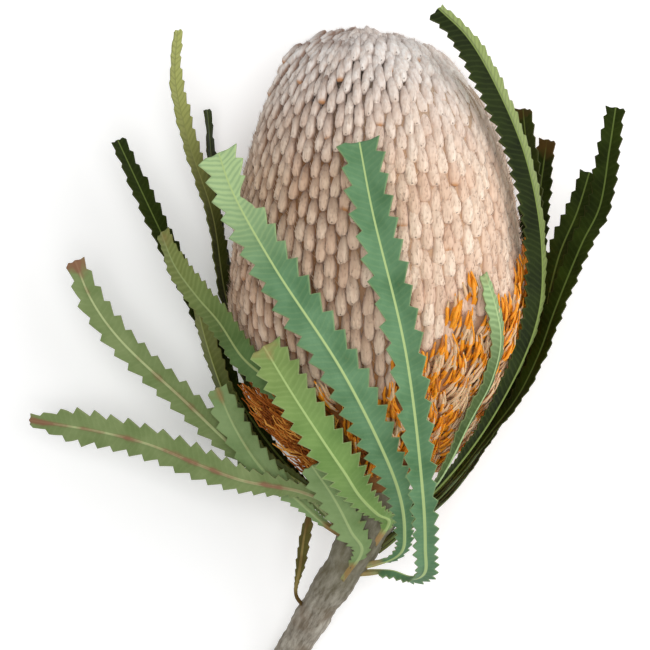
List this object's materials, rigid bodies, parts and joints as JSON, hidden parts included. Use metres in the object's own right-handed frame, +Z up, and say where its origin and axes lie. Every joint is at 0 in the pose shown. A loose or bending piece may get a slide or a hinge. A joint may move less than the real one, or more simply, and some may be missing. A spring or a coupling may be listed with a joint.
{
  "type": "banksia flower spike on a cut stem",
  "caption": "Egg-shaped banksia flower spike of woolly closed florets with an open collar, on a short cut stem with saw-toothed strap leaves, lying down.",
  "frame": {"origin": "on the surface that the stem lies on, in the middle of the flat spot under the flower spike's widest part", "axes": "+Z up from the surface, +Y along the flower spike towards its tip, +X to the right seen from above with the tip pointing away"},
  "size_m": [0.1865, 0.2158, 0.0968],
  "materials": {
    "closed_florets": "matte",
    "open_florets": "matte",
    "bark": "matte",
    "leaf_green": "satin",
    "leaf_olive": "satin",
    "leaf_dark": "satin",
    "leaf_dry": "matte"
  },
  "bodies": {
    "root": {"closed_florets": "closed_florets", "open_florets": "open_florets", "stem": "bark", "leaf_front_right": "leaf_green", "leaf_front_left": "leaf_green", "leaf_front_short": "leaf_green", "leaf_front_low": "leaf_green", "leaf_left_low": "leaf_green", "leaf_left_mid": "leaf_green", "leaf_left_small": "leaf_green", "leaf_left_high": "leaf_olive", "leaf_left_back": "leaf_olive", "leaf_left_dark": "leaf_dark", "leaf_left_tall": "leaf_olive", "leaf_left_under": "leaf_dark", "leaf_right_tall": "leaf_olive", "leaf_right_dark": "leaf_dark", "leaf_right_brown": "leaf_dark", "leaf_right_far": "leaf_dark", "leaf_right_mid": "leaf_dark", "leaf_right_front": "leaf_green", "leaf_dry": "leaf_dry"}
  },
  "joints": []
}
